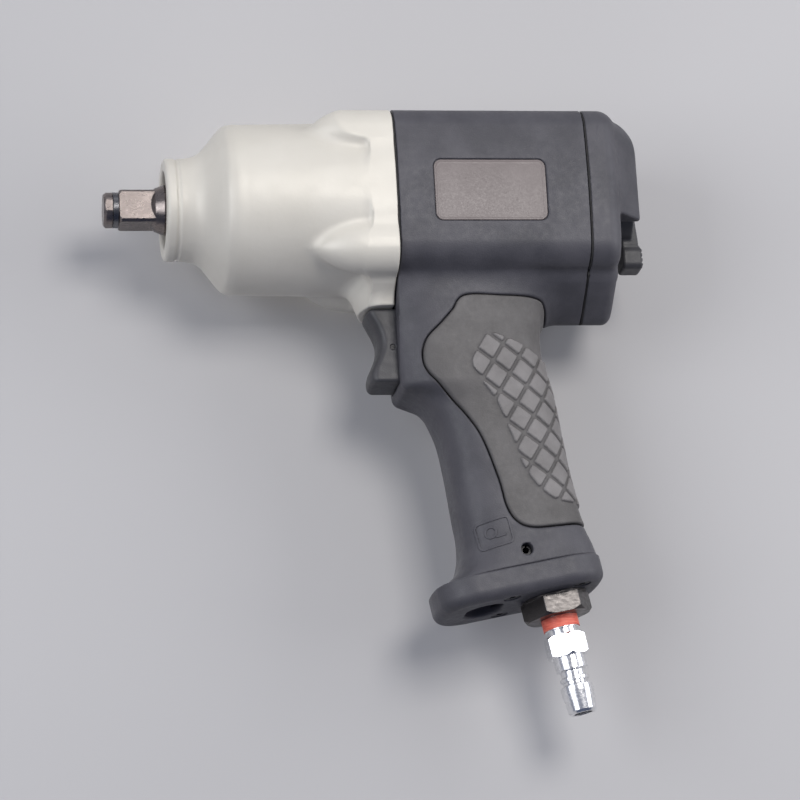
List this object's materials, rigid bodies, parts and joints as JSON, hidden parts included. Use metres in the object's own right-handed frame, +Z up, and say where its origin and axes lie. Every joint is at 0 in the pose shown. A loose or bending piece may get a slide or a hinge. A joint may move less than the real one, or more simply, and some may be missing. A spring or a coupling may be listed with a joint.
{
  "type": "pneumatic impact wrench",
  "caption": "Pistol-grip pneumatic impact wrench with a square drive, cast hammer case, composite body, trigger, rear reverse dial and hose plug.",
  "frame": {"origin": "centre of the square drive's end face, on the drive axis", "axes": "+X along the drive axis towards the rear of the tool, +Z up and away from the handle, +Y towards the tool's right side seen from the operator's place"},
  "size_m": [0.2053, 0.066, 0.2301],
  "materials": {
    "cast_case": "satin cream-silver paint on cast metal",
    "composite": "fine textured dark grey moulding",
    "grip_rubber": "matte dark grey rubber",
    "gasket": "matte sheet",
    "felt": "pressed felt",
    "plate": "satin taupe label, blank",
    "bronze": "plain bronze",
    "seal_rubber": "matte",
    "drive_steel": "ground and darkened",
    "spring_steel": "dark spring steel",
    "bright_steel": "ground",
    "grey_iron": "machined",
    "vane_resin": "fibre laminate",
    "brass": "turned",
    "black_steel": "black oxide, oiled",
    "tape": "wound thread sealing tape, orange-red",
    "plug_chrome": "bright plated"
  },
  "bodies": {
    "housing": {"hammer_case": "cast_case", "motor_housing": "composite", "grip_sleeve": "grip_rubber", "rear_cover": "composite", "front_gasket": "gasket", "rear_gasket": "gasket", "exhaust_deflector": "composite", "exhaust_felt": "felt", "nameplate": "plate", "anvil_bushing": "bronze", "nose_seal": "seal_rubber", "thrust_washer": "bright_steel", "front_end_plate": "grey_iron", "cylinder_liner": "grey_iron", "rear_end_plate": "grey_iron", "cylinder_dowel": "bright_steel", "front_bearing_outer": "bright_steel", "rear_bearing_outer": "bright_steel", "detent_ball": "bright_steel", "detent_spring": "spring_steel", "throttle_bushing": "brass", "rod_seal": "seal_rubber", "throttle_spring": "spring_steel", "inlet_bushing": "black_steel", "inlet_seal": "seal_rubber", "inlet_screen": "brass", "inlet_lock_pin": "black_steel", "thread_tape": "tape", "quick_plug": "plug_chrome", "case_bolts": "black_steel", "bolt_washers": "black_steel", "bolt_caps": "composite", "deflector_screws": "black_steel"},
    "anvil": {"anvil": "drive_steel", "friction_ring": "spring_steel", "friction_cushion": "seal_rubber"},
    "hammer_cage": {"hammer_cage": "bright_steel", "hammer_pins": "bright_steel"},
    "front_hammer": {"front_hammer": "bright_steel"},
    "rear_hammer": {"rear_hammer": "bright_steel"},
    "rotor": {"rotor": "bright_steel", "rotor_vanes": "vane_resin", "front_bearing_inner": "bright_steel", "rear_bearing_inner": "bright_steel"},
    "front_balls": {"front_bearing_balls": "bright_steel"},
    "rear_balls": {"rear_bearing_balls": "bright_steel"},
    "reverse_lever": {"reverse_lever": "composite", "reverse_valve": "brass", "valve_seal": "seal_rubber", "lever_screw": "black_steel"},
    "trigger": {"trigger": "composite", "trigger_rod": "bright_steel", "trigger_pin": "bright_steel"},
    "throttle_valve": {"throttle_poppet": "bright_steel"}
  },
  "joints": [
    {"name": "anvil_spin", "type": "hinge", "parent": "housing", "child": "anvil", "pos_m": [0.1, 0, 0], "axis": [1, 0, 0], "continuous": true},
    {"name": "rotor_spin", "type": "hinge", "parent": "housing", "child": "rotor", "pos_m": [0.1, 0, 0], "axis": [1, 0, 0], "continuous": true},
    {"name": "cage_spin", "type": "hinge", "parent": "housing", "child": "hammer_cage", "pos_m": [0.1, 0, 0], "axis": [1, 0, 0], "continuous": true},
    {"name": "front_balls_spin", "type": "hinge", "parent": "housing", "child": "front_balls", "pos_m": [0.1, 0, 0], "axis": [1, 0, 0], "continuous": true},
    {"name": "rear_balls_spin", "type": "hinge", "parent": "housing", "child": "rear_balls", "pos_m": [0.1, 0, 0], "axis": [1, 0, 0], "continuous": true},
    {"name": "front_hammer_swing", "type": "hinge", "parent": "hammer_cage", "child": "front_hammer", "pos_m": [0.068, 0, 0.019], "axis": [1, 0, 0], "range_deg": [-4, 4]},
    {"name": "rear_hammer_swing", "type": "hinge", "parent": "hammer_cage", "child": "rear_hammer", "pos_m": [0.083, 0, -0.019], "axis": [1, 0, 0], "range_deg": [-4, 4]},
    {"name": "trigger_pull", "type": "slide", "parent": "housing", "child": "trigger", "axis": [1, 0, 0], "range_m": [0, 0.0065], "deforming": ["throttle_spring"]},
    {"name": "throttle_lift", "type": "slide", "parent": "housing", "child": "throttle_valve", "axis": [1, 0, 0], "range_m": [0, 0.0065], "deforming": ["throttle_spring"]},
    {"name": "reverse_turn", "type": "hinge", "parent": "housing", "child": "reverse_lever", "pos_m": [0.196, 0, 0], "axis": [1, 0, 0], "range_deg": [-28, 28]}
  ],
  "couplings": [
    {"joint": "cage_spin", "follows": "rotor_spin", "ratio": 1},
    {"joint": "front_balls_spin", "follows": "rotor_spin", "ratio": 0.39},
    {"joint": "rear_balls_spin", "follows": "rotor_spin", "ratio": 0.39},
    {"joint": "throttle_lift", "follows": "trigger_pull", "ratio": 1}
  ]
}
